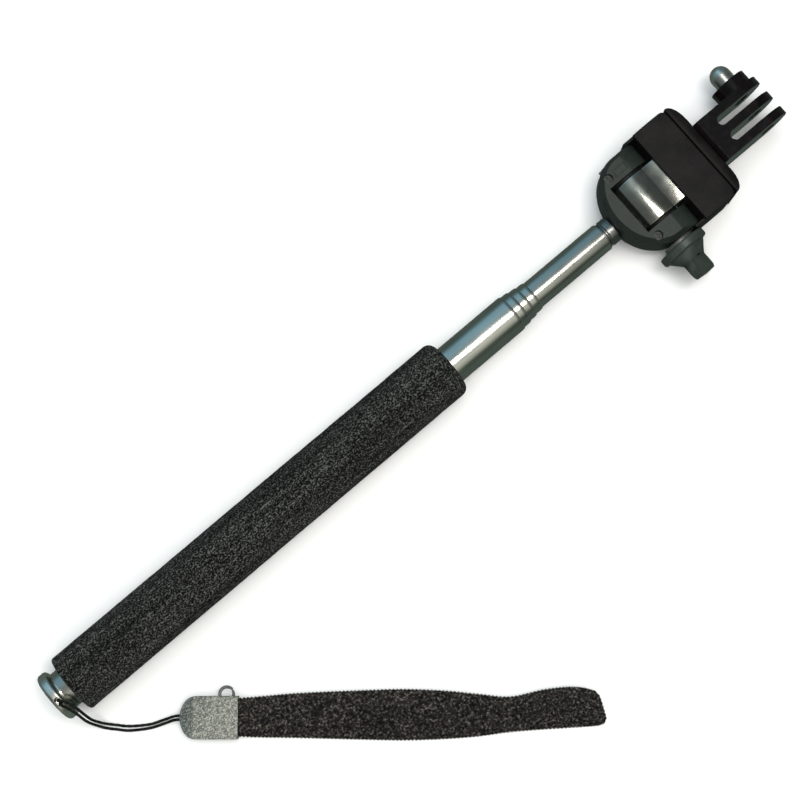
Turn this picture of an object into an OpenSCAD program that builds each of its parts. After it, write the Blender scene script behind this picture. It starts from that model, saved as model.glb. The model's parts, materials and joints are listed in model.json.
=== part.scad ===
// Extendable hand-held pole with a tilting head and a three-prong camera adapter.
// The pole lies along +X, from its butt face at X = 0, and +Z is up. Millimetres.

/* [Pole] */
// Outside diameter of the handle tube, the widest of the five
tube_od = 12.4; // [12.2:0.1:12.8]
// Wall thickness of every tube
tube_wall = 0.25; // [0.22:0.01:0.28]
// Radial gap between one tube and the next
tube_gap = 0.15; // [0.12:0.01:0.18]
// Radial play of a sliding or turning fit
run_gap = 0.05; // [0.03:0.01:0.08]
// Where the handle tube starts
tube_start = 4.0; // [3.8:0.1:4.2]
// Where the handle tube's mouth is
mouth_x = 179.2; // [175:0.1:190]
// How far each tube stands out of the next when the pole is closed
mouth_step = 2.7; // [2.3:0.1:3.2]
// Where the inner end of the second tube is
inner_x = 17; // [16.8:0.1:20]
// How far each inner end lies beyond the next
inner_step = 3; // [1:0.5:5]
// Length of the friction sleeve round each inner end
sleeve_len = 14; // [8:1:18]
// Where the thinnest tube ends
thin_end = 215.4; // [210:0.1:218]

/* [Grip] */
// Outside diameter of the foam grip
grip_d = 19; // [18:0.5:21]
// Where the foam starts
grip_start = 6.8; // [6.6:0.1:8]
// Where the foam ends
grip_end = 154.1; // [140:0.1:165]
// Rounding of the foam's front end
grip_round = 2.6; // [1:0.1:2.9]

/* [Butt] */
// Diameter of the butt button
button_d = 16; // [15.6:0.1:16.4]
// Thickness of the butt button
button_t = 3.4; // [3.3:0.1:3.6]
// Diameter of the neck between button and tube
button_neck_d = 10; // [9:0.5:11]
// Width of the slot in the button's rim that the wrist cord comes out of
cord_slot_w = 1.7; // [1.5:0.1:1.9]

/* [Head] */
// Where the tilt axis is
tilt_x = 232.3; // [232.2:0.1:232.4]
// Length of the head behind the tilt axis
head_back = 12.7; // [12.6:0.1:12.8]
// Half width of the head
head_half_w = 15.9; // [15.8:0.05:15.95]
// Half height of the head
head_half_h = 8.8; // [8.7:0.05:8.9]
// Half width of the window between the arms
window_half_w = 8.75; // [8.7:0.05:8.8]
// Radius of the chrome barrel in the window
barrel_r = 8.5; // [8.3:0.1:8.6]
// Half length of the barrel
barrel_half_l = 7.7; // [7.6:0.05:7.75]
// Radius of the tilt bolt
tilt_bolt_r = 2.5; // [2.4:0.1:2.6]

/* [Platform] */
// Rear face of the platform block
block_x = 241.5; // [241.4:0.1:241.8]
// Front face of the platform block
block_end = 253.5; // [253:0.1:254]
// Half width of the platform block
block_half_w = 16.9; // [16.8:0.05:17]
// Half height of the block at its ridge
block_half_h = 9; // [8.8:0.1:9.2]
// Front face of the rubber pad
pad_end = 257.9; // [257.8:0.1:258]
// Radius of the camera screw, a quarter inch across
camera_screw_r = 3.175; // [3.1:0.005:3.2]

/* [Adapter] */
// Thickness of one prong
prong_t = 2.9; // [2.8:0.1:3]
// Width of the slot between two prongs
slot_w = 3.2; // [3.1:0.1:3.3]
// Radius of the prongs' round ends
prong_r = 7.5; // [7.3:0.1:7.6]
// Where the prongs' common bore is
pivot_x = 276.7; // [276:0.1:277]
// Radius of the bore for the camera's clamp screw
pivot_bore_r = 2.6; // [2.5:0.05:2.65]
// Radius of the threaded hole in the dome nut
nut_thread_r = 2.1; // [2:0.05:2.2]

/* [Clamp knob] */
// Radius of the knob's round flange
knob_r = 8; // [7.5:0.1:8.5]
// How far the knob's wing leans from upright, in degrees
knob_lean = 38; // [0:1:45]
// Width of the wing
wing_w = 11.4; // [10:0.1:13]
// Thickness of the wing
wing_t = 3.2; // [3:0.1:3.6]

/* [Wrist strap] */
// Diameter of the cord
cord_d = 0.84; // [0.8:0.02:1.2]
// Length of the strap's clip
clip_len = 17.5; // [17:0.5:19]
// Width of the clip
clip_w = 12.7; // [12:0.1:14]
// Height of each half of the clip
clip_half_h = 2.5; // [2.5:0.1:3]
// Thickness of the folded webbing
webbing_t = 3; // [2.6:0.1:3.2]

/* [Hidden] */
$fn = 64;
eps = 0.01;
floor_z = -grip_d / 2;
tube_step = 2 * (tube_wall + tube_gap);
mouth_len = 1.6;
mouth_round = 0.8;
sleeve_slit = 1.2;
plug_end = 14;
screw_head_end = 16;
m3_r = 1.25;
slot_middle_x = 1.7;
slot_ends_y = [-1.7, -2.9];
slot_bottom_z = 5.2;
ferrule_start = thin_end - 13.8;
neck_end = tilt_x - head_back - 0.1;
stud_r = 2;
stud_head_r = 3.6;
pocket_start = tilt_x - head_back + 1.5;
pocket_end = pocket_start + 1.75;
arm_r = head_half_h + 0.1;
// Height where the outline starts to draw in, and how far it does, above and below
upper_taper = [6.6, 1.4];
lower_taper = [2.4, 3];
screw_place = [226.9, 11.4];
hex_r = 4.62;
bolt_head_y = 13;
bolt_end_y = -22.65;
knob_face_y = -17.2;
knob_wing_end = -29;
adapter_half_w = 1.5 * prong_t + slot_w;
boss_r = 6.05;
insert_end = 263.6;
boss_h = 3.9;
strap_x = 24.3;
strap_y = -28;
strap_turn = -40.3;
clip_z = floor_z + clip_half_h;

// Outside radius, start and end of each tube, counted from the handle tube
function tube_r(k) = (tube_od - k * tube_step) / 2;
function tube_x0(k) = k == 0 ? tube_start : inner_x + (k - 1) * inner_step;
function tube_x1(k) = k == 4 ? thin_end : mouth_x + k * mouth_step;
function unit(v) = v / norm(v);
function arc(cx, cy, rx, ry, a0, a1, n) =
  [for (i = [0:n]) [cx + rx * cos(a0 + (a1 - a0) * i / n), cy + ry * sin(a0 + (a1 - a0) * i / n)]];

// Route of the cord's first strand, from the slot in the button's rim to the clip
strand_a_route = [
  [1.7, -1.7, 5.6], [1.7, -1.7, 7.4], [2.2, -2.2, 8.6], [3.3, -3.7, 8.9], [4.2, -5.6, 8],
  [4.5, -7.5, 5.9], [4.4, -9.1, 2.7], [4.2, -10.3, -1], [4.3, -11.8, -4.3], [5, -13.3, -6.7],
  [6.3, -15.2, -8.4], [8.4, -17.5, -8.9], [11.2, -20.3, -8.9], [16.1, -23.7, -8.9], [20.5, -25.5, -8.2],
  [23.2, -26.6, -7.3], [25.1, -27.9, -7], [26.6, -29.2, -7], [29.7, -31.9, -7]
];
// Route of the second strand, beside the first
strand_b_route = [
  [1.7, -2.9, 5.6], [1.7, -2.9, 7.4], [1.9, -3.8, 8.4], [2.6, -5.5, 7.7], [3.1, -7.3, 6.2],
  [3.2, -8.8, 3.6], [3, -9.9, 0.3], [2.9, -11.1, -3], [3.4, -12.7, -5.8], [4.3, -14.4, -7.7],
  [5.3, -16, -8.9], [7.6, -18.5, -8.9], [10.3, -21.2, -8.9], [15.3, -24.5, -8.9], [19.8, -26.4, -8.2],
  [22.4, -27.4, -7.3], [24.4, -28.8, -7], [25.8, -30, -7], [29, -32.7, -7]
];
// Outline of the folded webbing, along and across the strap, from the clip
webbing_outline = [
  [17.6, 5.8], [36, 7.2], [55, 8.0], [70, 8.3], [80, 7.9], [90, 6.9], [99, 6.0], [105, 6.8],
  [111, 8.4], [117, 9.0], [122, 9.2], [124.6, 8.4], [126, 5.6], [127.3, 0.8], [127.2, -1.0],
  [125.6, -2.6], [122, -3.2], [110, -3.6], [99, -4.3], [90, -5.6], [80, -6.4], [68, -6.8],
  [50, -6.6], [36, -6.1], [17.6, -5.6]
];

// A rod along X, from x0 to x1
module rod_x(x0, x1, r) {
  translate([x0, 0, 0]) rotate([0, 90, 0]) cylinder(h = x1 - x0, r = r);
}

// A rod along Y at the place x, from y0 to y1
module rod_y(x, y0, y1, r, sides = 64) {
  translate([x, y0, 0]) rotate([-90, 0, 0]) cylinder(h = y1 - y0, r = r, $fn = sides);
}

// A solid of revolution round X, from points [radius, x]
module turned_x(points) {
  rotate([0, 90, 0]) rotate_extrude() polygon(points);
}

// An outline [x, z] drawn out along Y, from y0 to y1
module drawn_y(points, y0, y1) {
  translate([0, y1, 0]) rotate([90, 0, 0]) linear_extrude(y1 - y0) polygon(points);
}

// A box from its lowest and highest corners
module box(low, high) {
  translate(low) cube(high - low);
}

// A round cord swept along a route, with eight sides
module swept_cord(route, d) {
  sides = 8;
  last = len(route) - 1;
  along = [for (i = [0:last]) unit(route[min(i + 1, last)] - route[max(i - 1, 0)])];
  first = unit(cross(along[0], [0, 1, 0]));
  across = [
    for (i = 0, n = first; i <= last; i = i + 1, n = i > last ? n : unit(n - along[i] * (n * along[i]))) n
  ];
  rings = [
    for (i = [0:last]) for (j = [0:sides - 1])
      route[i] + d / 2 * (across[i] * cos(360 * j / sides) + cross(along[i], across[i]) * sin(360 * j / sides))
  ];
  walls = [
    for (i = [0:last - 1]) for (j = [0:sides - 1])
      [i * sides + j, i * sides + (j + 1) % sides, (i + 1) * sides + (j + 1) % sides, (i + 1) * sides + j]
  ];
  start_cap = [for (j = [0:sides - 1]) sides - 1 - j];
  end_cap = [for (j = [0:sides - 1]) last * sides + j];
  polyhedron(rings, [for (f = concat([start_cap], walls, [end_cap])) [for (i = [len(f) - 1:-1:0]) f[i]]]);
}

// One tube of the pole, its mouth crimped in to guide the next one
module pole_tube(k) {
  r = tube_r(k);
  x0 = tube_x0(k);
  x1 = tube_x1(k);
  bore = r - tube_wall;
  lip = k == 4 ? bore : tube_r(k + 1) + run_gap;
  color("silver") turned_x(concat(
    [[bore, x0], [r, x0]],
    arc(r - 0.25, x1 - mouth_round, 0.25, mouth_round, 0, 90, 5),
    [[lip, x1], [lip, x1 - mouth_len], [bore, x1 - mouth_len]]
  ));
}

// The split spring sleeve that gives a tube its drag in the tube outside it
module pole_sleeve(k) {
  r = tube_r(k);
  x0 = tube_x0(k);
  color("darkgoldenrod") difference() {
    rod_x(x0, x0 + sleeve_len, r + tube_gap - run_gap);
    rod_x(x0 - 1, x0 + sleeve_len + 1, r);
    box([x0 - 1, -sleeve_slit / 2, -r - 1], [x0 + sleeve_len + 1, sleeve_slit / 2, 0]);
  }
}

module foam_grip() {
  r = grip_d / 2;
  back = 0.7;
  color("#1d1d20") turned_x(concat(
    [[tube_od / 2, grip_end], [tube_od / 2, grip_start]],
    arc(r - back, grip_start + back, back, back, -90, 0, 4),
    arc(r - grip_round, grip_end - grip_round, grip_round, grip_round, 0, 90, 8)
  ));
}

// Plug pressed into the handle tube's rear end
module end_plug() {
  color("dimgray") difference() {
    rod_x(tube_start, plug_end, tube_od / 2 - tube_wall);
    rod_x(tube_start - 1, plug_end + 1, m3_r + 0.25);
  }
}

// Butt button, with a slot in its rim for the cord
module butt_button() {
  r = button_d / 2;
  edge = 1.1;
  color("silver") difference() {
    union() {
      turned_x(concat(
        [[0, button_t], [0, 0]],
        arc(r - edge, edge, edge, edge, -90, 0, 6),
        arc(r - edge, button_t - edge, edge, edge, 0, 90, 6)
      ));
      rod_x(button_t - 1, tube_start, button_neck_d / 2);
    }
    rod_x(1.6, tube_start + 1, m3_r);
    for (y = slot_ends_y) translate([slot_middle_x, y, slot_bottom_z]) cylinder(h = r, d = cord_slot_w);
    box([slot_middle_x - cord_slot_w / 2, slot_ends_y[1], slot_bottom_z],
        [slot_middle_x + cord_slot_w / 2, slot_ends_y[0], slot_bottom_z + r]);
  }
}

// Screw that holds the button to the plug from inside
module butt_screw() {
  color("silver") difference() {
    union() {
      rod_x(1.6, plug_end, m3_r);
      rod_x(plug_end, screw_head_end, 2.75);
    }
    translate([screw_head_end - 1, 0, 0]) rotate([0, 90, 0]) cylinder(h = 2, r = 1.4, $fn = 6);
  }
}

module neck_ferrule() {
  r = tube_r(4) - tube_wall;
  color("gray") difference() {
    rod_x(ferrule_start, neck_end, r);
    rod_x(ferrule_start - 1, neck_end + 1, stud_r);
  }
}

// Headed stud, screwed into the ferrule, that the head turns on
module swivel_stud() {
  color("silver") union() {
    rod_x(ferrule_start + 3, pocket_start + 0.5, stud_r);
    rod_x(pocket_start + 0.45, pocket_end - 0.1, stud_head_r);
  }
}

module swivel_washer() {
  color("white") difference() {
    rod_x(pocket_start, pocket_start + 0.4, stud_head_r - 0.1);
    rod_x(pocket_start - 1, pocket_start + 1, stud_r + 0.1);
  }
}

// Outline of the head, a half ellipse that runs into two arms, drawn in by the inset
module head_outline(inset) {
  half_w = head_half_w - inset;
  polygon(concat(
    arc(tilt_x, 0, head_back - inset, half_w, 90, 270, 72),
    [[tilt_x + 6, -half_w], [tilt_x + arm_r, -half_w + 0.9]],
    [[tilt_x + arm_r, half_w - 0.9], [tilt_x + 6, half_w]]
  ));
}

// One half of the fork head, above the parting plane
module head_half(taper) {
  difference() {
    intersection() {
      hull() {
        linear_extrude(taper[0]) head_outline(0);
        translate([0, 0, head_half_h - 0.1]) linear_extrude(0.1) head_outline(taper[1]);
      }
      union() {
        box([tilt_x - 20, -30, -1], [tilt_x, 30, 20]);
        rod_y(tilt_x, -30, 30, arm_r);
      }
    }
    box([tilt_x - 7.2, -window_half_w, -1], [tilt_x + 20, window_half_w, 20]);
    rod_y(tilt_x, -window_half_w, window_half_w, barrel_r + 0.35);
    rod_y(tilt_x, -30, 30, tilt_bolt_r + run_gap);
    rod_y(tilt_x, bolt_head_y, 30, hex_r, 6);
    rod_x(tilt_x - 20, tilt_x - 7, stud_r + run_gap);
    rod_x(pocket_start, pocket_end, stud_head_r + 0.2);
  }
}

module head_top_shell() {
  mark_low = [229, 10.1];
  mark_high = [233.6, 12.5];
  line_w = 0.3;
  color("#3c4341") difference() {
    head_half(upper_taper);
    for (side = [-1, 1]) translate([screw_place[0], side * screw_place[1], 0]) {
      translate([0, 0, -1]) cylinder(h = 20, r = 0.9);
      translate([0, 0, 6.1]) cylinder(h = 10, r = 1.45);
    }
    difference() {
      box([mark_low[0], mark_low[1], head_half_h - 0.3], [mark_high[0], mark_high[1], 20]);
      box([mark_low[0] + line_w, mark_low[1] + line_w, 0], [mark_high[0] - line_w, mark_high[1] - line_w, 20]);
    }
  }
}

module head_bottom_shell() {
  color("#3c4341") difference() {
    mirror([0, 0, 1]) head_half(lower_taper);
    for (side = [-1, 1]) translate([screw_place[0], side * screw_place[1], -6]) cylinder(h = 10, r = 0.8);
  }
}

// The two screws that hold the halves of the head together
module head_screws() {
  color("#2a2a2a") for (side = [-1, 1]) translate([screw_place[0], side * screw_place[1], 0]) difference() {
    union() {
      translate([0, 0, -5.8]) cylinder(h = 12, r = 0.8);
      translate([0, 0, 6.1]) cylinder(h = 1.3, r = 1.4);
    }
    translate([-1, -0.2, 6.9]) cube([2, 0.4, 1]);
    translate([-0.2, -1, 6.9]) cube([0.4, 2, 1]);
  }
}

module tilt_bolt() {
  color("silver") union() {
    rod_y(tilt_x, bolt_end_y, bolt_head_y + 0.5, tilt_bolt_r);
    rod_y(tilt_x, bolt_head_y, 15.7, hex_r - 0.05, 6);
  }
}

// The two washers between the barrel and the arms
module friction_washers() {
  color("white") for (side = [-1, 1]) difference() {
    rod_y(tilt_x, side < 0 ? -window_half_w : barrel_half_l + run_gap,
          side < 0 ? -barrel_half_l - run_gap : window_half_w, 6.5);
    rod_y(tilt_x, -20, 20, tilt_bolt_r + run_gap);
  }
}

module knob_washer() {
  color("silver") difference() {
    rod_y(tilt_x, knob_face_y + run_gap, -head_half_w, 5.1);
    rod_y(tilt_x, -30, 0, tilt_bolt_r + run_gap);
  }
}

// Chrome knuckle that turns on the tilt bolt, with a tongue that carries the platform
module tilt_barrel() {
  edge = 0.5;
  tongue_start = 4.5;
  tongue_len = block_x - tilt_x - tongue_start;
  // The tongue's top face leaves the barrel, hollows out and ends on a slight rise.
  face = [for (i = [0:8]) let(past = tongue_len * i / 8)
    [tilt_x + tongue_start + past, 7.2 - 0.176 * past + 0.0256 * past * past]];
  color("silver") difference() {
    union() {
      translate([tilt_x, 0, 0]) rotate([-90, 0, 0]) rotate_extrude() polygon([
        [0, -barrel_half_l], [barrel_r - edge, -barrel_half_l], [barrel_r, -barrel_half_l + edge],
        [barrel_r, barrel_half_l - edge], [barrel_r - edge, barrel_half_l], [0, barrel_half_l]
      ]);
      drawn_y(concat(face, [for (i = [8:-1:0]) [face[i][0], -face[i][1]]]), -barrel_half_l, barrel_half_l);
    }
    rod_y(tilt_x, -20, 20, tilt_bolt_r + run_gap);
    rod_x(tilt_x + 3.5, tilt_x + 20, camera_screw_r);
  }
}

// Moulded block with a ridge across it and two ears past the arms
module platform_block() {
  ridge_x = 247.6;
  corner = 1.6;
  ear_x = 237.8;
  ear_z = 6.8;
  color("#17181a") difference() {
    union() {
      intersection() {
        drawn_y([
          [block_x, -8.4], [ridge_x, -block_half_h], [block_end, -8.2],
          [block_end, 8.2], [ridge_x, block_half_h], [block_x, 8.4]
        ], -block_half_w, block_half_w);
        translate([0, 0, -20]) linear_extrude(40) polygon(concat(
          [[block_x, -block_half_w], [block_x, block_half_w]],
          arc(block_end - corner, block_half_w - corner, corner, corner, 90, 0, 6),
          arc(block_end - corner, -block_half_w + corner, corner, corner, 0, -90, 6)
        ));
      }
      for (side = [-1, 1])
        translate([0, side * (block_half_w + head_half_w + 0.15) / 2, 0])
          box([ear_x, -(block_half_w - head_half_w - 0.15) / 2, -ear_z],
              [block_x + 1, (block_half_w - head_half_w - 0.15) / 2, ear_z]);
    }
    rod_x(tilt_x, block_end + 1, camera_screw_r + run_gap);
  }
}

// Rubber pad on the block's front, rounded towards the adapter
module platform_pad() {
  lip_x = block_end + 0.6;
  depth = pad_end - lip_x;
  flat_w = 8.5;
  flat_h = 6;
  side_w = block_half_w - 0.15;
  side_h = 8.5;
  color("#101112") difference() {
    union() {
      box([block_end, -15, -7], [lip_x, 15, 7]);
      intersection() {
        translate([0, 0, -20]) linear_extrude(40) polygon(concat(
          [[lip_x, -side_w], [lip_x, side_w]],
          arc(lip_x, flat_w, depth, side_w - flat_w, 80, 0, 8),
          arc(lip_x, -flat_w, depth, side_w - flat_w, 0, -80, 8)
        ));
        drawn_y(concat(
          arc(lip_x, -flat_h, depth, side_h - flat_h, -90, 0, 6),
          arc(lip_x, flat_h, depth, side_h - flat_h, 0, 90, 6)
        ), -20, 20);
      }
    }
    rod_x(block_end - 1, pad_end + 1, camera_screw_r + run_gap);
  }
}

// Quarter-inch stud from the barrel through the block and pad into the adapter
module camera_screw() {
  color("silver") rod_x(tilt_x + 3.6, insert_end - 0.2, camera_screw_r);
}

// Clamp knob, a round flange with a leaning wing
module clamp_knob() {
  flange_t = 2.75;
  edge = 0.8;
  wing_start = -23.6;
  round_end = 1.8;
  flange_end = knob_face_y - flange_t;
  color("#3a403e") difference() {
    union() {
      translate([tilt_x, 0, 0]) rotate([-90, 0, 0]) rotate_extrude() polygon(concat(
        [[0, flange_end], [0, knob_face_y], [knob_r - 0.3, knob_face_y], [knob_r, knob_face_y - 0.3]],
        arc(knob_r - edge, flange_end + edge, edge, edge, 0, -90, 5)
      ));
      translate([tilt_x, 0, 0]) rotate([0, -knob_lean, 0]) {
        hull() {
          rod_y(0, flange_end - 0.1, flange_end + 0.3, 6.6, 40);
          translate([-wing_t / 2, wing_start, -wing_w / 2]) cube([wing_t, 0.4, wing_w]);
        }
        translate([-wing_t / 2, 0, 0]) rotate([0, 90, 0]) linear_extrude(wing_t) polygon(concat(
          [[-wing_w / 2, wing_start + 0.4]],
          arc(-wing_w / 2 + round_end, knob_wing_end + round_end, round_end, round_end, 180, 270, 6),
          arc(wing_w / 2 - round_end, knob_wing_end + round_end, round_end, round_end, 270, 360, 6),
          [[wing_w / 2, wing_start + 0.4]]
        ));
      }
    }
    rod_y(tilt_x, -21.4, knob_face_y + 1, hex_r - 0.3, 6);
    rod_y(tilt_x, bolt_end_y - 0.6, knob_face_y, tilt_bolt_r + run_gap);
  }
}

module knob_nut() {
  color("goldenrod") difference() {
    rod_y(tilt_x, -21.4, knob_face_y - 0.1, hex_r - 0.3, 6);
    rod_y(tilt_x, -30, 0, tilt_bolt_r + run_gap);
  }
}

// Three-prong adapter with a boss that holds the dome nut
module adapter_body() {
  x0 = pad_end + 0.1;
  slot_x = 264.2;
  corner = 1.2;
  color("#0c0c0d") difference() {
    union() {
      intersection() {
        box([x0, -adapter_half_w, -prong_r], [pivot_x, adapter_half_w, prong_r]);
        drawn_y([
          [x0, -prong_r + corner], [x0 + corner, -prong_r], [pivot_x + 1, -prong_r],
          [pivot_x + 1, prong_r], [x0 + corner, prong_r], [x0, prong_r - corner]
        ], -20, 20);
      }
      rod_y(pivot_x, -adapter_half_w, adapter_half_w, prong_r);
      rod_y(pivot_x, adapter_half_w - 1, adapter_half_w + boss_h, boss_r);
    }
    for (side = [-1, 1]) translate([0, side * (prong_t + slot_w) / 2, 0]) {
      translate([slot_x + slot_w / 2, 0, -20]) cylinder(h = 40, r = slot_w / 2);
      box([slot_x + slot_w / 2, -slot_w / 2, -20], [pivot_x + 20, slot_w / 2, 20]);
    }
    rod_y(pivot_x, -20, 20, pivot_bore_r);
    rod_y(pivot_x, adapter_half_w, 20, hex_r, 6);
    rod_x(x0 - 1, insert_end, 4.2);
  }
}

module adapter_insert() {
  color("goldenrod") difference() {
    rod_x(pad_end + 0.1, insert_end, 4.2);
    rod_x(pad_end - 1, insert_end + 1, camera_screw_r + run_gap);
  }
}

module dome_nut() {
  dome_r = 3.4;
  dome_y = 14.3;
  color("silver") difference() {
    union() {
      rod_y(pivot_x, adapter_half_w, adapter_half_w + boss_h, hex_r, 6);
      rod_y(pivot_x, adapter_half_w + boss_h - 0.5, dome_y, dome_r);
      translate([pivot_x, dome_y, 0]) rotate([-90, 0, 0]) rotate_extrude() polygon(concat(
        [[0, 0]], arc(0, 0, dome_r, dome_r, 0, 90, 16)
      ));
    }
    rod_y(pivot_x, 0, adapter_half_w + 6.5, nut_thread_r);
  }
}

// Places its children in the strap's own frame, along the strap and above the floor
module on_strap() {
  translate([strap_x, strap_y, 0]) rotate([0, 0, strap_turn]) children();
}

// Outline of the clip, round at the cord's end
module clip_outline() {
  polygon(concat(
    arc(4.8, 0, 4.8, clip_w / 2, 90, 270, 16),
    [[clip_len, -clip_w / 2], [clip_len, clip_w / 2]]
  ));
}

// What both halves of the clip leave free for cord, crimp and webbing
module clip_inside() {
  translate([0, 0, clip_z]) {
    box([-1, -1.35, -0.8], [3, 1.35, 0.8]);
    rod_x(2.6, 8, 2);
    box([11.9, -5.2, -1.1], [clip_len + 1, 5.2, 0.9]);
  }
}

module clip_bottom() {
  color("#8f9189") on_strap() difference() {
    translate([0, 0, floor_z]) linear_extrude(clip_half_h) clip_outline();
    clip_inside();
  }
}

// The top half slopes down towards the cord
module clip_top() {
  slope_len = 4.2;
  drop = 1.1;
  color("#8f9189") on_strap() difference() {
    intersection() {
      translate([0, 0, clip_z]) linear_extrude(clip_half_h) clip_outline();
      drawn_y([
        [-1, clip_z], [-1, clip_z + clip_half_h - drop - 0.4], [0, clip_z + clip_half_h - drop],
        [slope_len, clip_z + clip_half_h], [clip_len + 1, clip_z + clip_half_h], [clip_len + 1, clip_z]
      ], -10, 10);
    }
    clip_inside();
  }
}

module wire_ring() {
  wire_r = 0.45;
  ring_r = 2.5;
  color("silver") on_strap() translate([14.1, clip_w / 2, clip_z + 1]) rotate_extrude(angle = 180)
    translate([ring_r, 0]) circle(r = wire_r, $fn = 24);
}

module cord_crimp() {
  color("goldenrod") on_strap() translate([0, 0, clip_z]) difference() {
    rod_x(3, 8, 2);
    rod_x(2, 9, 1.3);
  }
}

module cord_strand_a() {
  color("#141414") swept_cord(strand_a_route, cord_d);
}

module cord_strand_b() {
  color("#141414") swept_cord(strand_b_route, cord_d);
}

module wrist_webbing() {
  color("#151515") on_strap() union() {
    translate([0, 0, floor_z]) linear_extrude(webbing_t) polygon(webbing_outline);
    box([11.9, -5.2, clip_z - 1.1], [20, 5.2, clip_z + 0.4]);
  }
}

foam_grip();
pole_tube(0);  // handle_tube
end_plug();
butt_button();
butt_screw();
cord_strand_a();
cord_strand_b();
cord_crimp();
clip_top();
clip_bottom();
wire_ring();
wrist_webbing();
pole_tube(1);  // tube_2
pole_tube(2);  // tube_3
pole_tube(3);  // tube_4
pole_tube(4);  // tube_5
pole_sleeve(1);  // sleeve_2
pole_sleeve(2);  // sleeve_3
pole_sleeve(3);  // sleeve_4
pole_sleeve(4);  // sleeve_5
neck_ferrule();
swivel_stud();
swivel_washer();
head_top_shell();
head_bottom_shell();
head_screws();
tilt_bolt();
friction_washers();
knob_washer();
tilt_barrel();
platform_block();
platform_pad();
camera_screw();
clamp_knob();
knob_nut();
adapter_body();
adapter_insert();
dome_nut();
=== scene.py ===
"""An extendable selfie stick on a white table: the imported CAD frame, with detailed pieces and materials."""

import json
import math

import bmesh
import bpy
import numpy as np
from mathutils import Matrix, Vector


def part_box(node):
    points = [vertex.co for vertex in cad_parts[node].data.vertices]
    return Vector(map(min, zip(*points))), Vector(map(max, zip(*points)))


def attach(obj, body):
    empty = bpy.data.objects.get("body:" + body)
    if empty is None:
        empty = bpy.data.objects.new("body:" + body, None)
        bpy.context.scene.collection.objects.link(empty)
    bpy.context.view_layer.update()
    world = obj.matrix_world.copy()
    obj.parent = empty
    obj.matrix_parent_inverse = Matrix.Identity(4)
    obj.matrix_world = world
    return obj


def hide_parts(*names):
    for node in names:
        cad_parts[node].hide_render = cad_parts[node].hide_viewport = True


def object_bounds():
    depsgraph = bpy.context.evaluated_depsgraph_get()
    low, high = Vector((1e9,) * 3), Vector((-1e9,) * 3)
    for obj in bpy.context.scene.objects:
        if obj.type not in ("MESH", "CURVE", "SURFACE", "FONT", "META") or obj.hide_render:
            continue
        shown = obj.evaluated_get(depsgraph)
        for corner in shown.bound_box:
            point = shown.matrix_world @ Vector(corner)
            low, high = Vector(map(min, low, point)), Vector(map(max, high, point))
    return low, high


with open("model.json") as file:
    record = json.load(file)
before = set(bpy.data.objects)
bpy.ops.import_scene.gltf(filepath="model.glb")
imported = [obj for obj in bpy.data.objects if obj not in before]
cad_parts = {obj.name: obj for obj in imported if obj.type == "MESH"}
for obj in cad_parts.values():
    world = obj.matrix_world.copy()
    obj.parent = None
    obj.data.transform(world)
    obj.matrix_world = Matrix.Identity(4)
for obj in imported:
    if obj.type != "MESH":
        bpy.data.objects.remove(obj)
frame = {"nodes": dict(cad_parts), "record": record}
CAD_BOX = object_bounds()

MM = 0.001
NODES = frame["nodes"]
FLOOR_Z = CAD_BOX[0].z
BODY_OF = {n: b for b, members in frame["record"]["behaviour"]["bodies"].items() for n in members}


# ---------------------------------------------------------------- camera

def make_camera():
    """A long lens that looks almost straight down on the pole, which runs across the picture."""
    azimuth = math.radians(-40.35)
    elevation = math.radians(82.3)
    lens, sensor = 85.0, 36.0
    seen_width = 0.2417
    aim = Vector((0.1359, 0.0017, 0.0))
    back = Vector((
        math.sin(azimuth) * math.cos(elevation),
        -math.cos(azimuth) * math.cos(elevation),
        math.sin(elevation),
    ))
    data = bpy.data.cameras.new("camera")
    data.lens, data.sensor_width = lens, sensor
    data.clip_start, data.clip_end = 0.01, 20
    camera = bpy.data.objects.new("camera", data)
    camera.location = aim + back * (seen_width * lens / sensor)
    camera.rotation_mode = "QUATERNION"
    camera.rotation_quaternion = (-back).to_track_quat("-Z", "Y")
    bpy.context.scene.collection.objects.link(camera)
    bpy.context.scene.camera = camera


# ---------------------------------------------------------------- mesh helpers

def add_mesh(name, points, faces, node_or_body, smooth_angle=40.0):
    """A piece from points in metres, riding on a body, with smooth shading inside the given angle."""
    mesh = bpy.data.meshes.new(name)
    mesh.from_pydata([tuple(p) for p in points], [], [tuple(f) for f in faces])
    shade(mesh, smooth_angle)
    piece = bpy.data.objects.new(name, mesh)
    bpy.context.scene.collection.objects.link(piece)
    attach(piece, BODY_OF.get(node_or_body, node_or_body))
    return piece


def shade(mesh, smooth_angle):
    """Smooth shading with sharp edges where two faces meet at more than the angle."""
    bm = bmesh.new()
    bm.from_mesh(mesh)
    bmesh.ops.recalc_face_normals(bm, faces=bm.faces)
    limit = math.radians(smooth_angle)
    for face in bm.faces:
        face.smooth = True
    for edge in bm.edges:
        edge.smooth = len(edge.link_faces) == 2 and edge.calc_face_angle(0.0) < limit
    bm.to_mesh(mesh)
    bm.free()


def loft(rings, closed_ends=True, closed_loop=False):
    """Points and faces of a skin over rings that all have the same number of points."""
    rings = np.asarray(rings, float)
    count, around = rings.shape[:2]
    faces = []
    for i in range(count if closed_loop else count - 1):
        a, b = i * around, (i + 1) % count * around
        faces += [(a + j, a + (j + 1) % around, b + (j + 1) % around, b + j) for j in range(around)]
    if closed_ends and not closed_loop:
        faces.append(tuple(reversed(range(around))))
        faces.append(tuple(range((count - 1) * around, count * around)))
    return rings.reshape(-1, 3), faces


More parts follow.
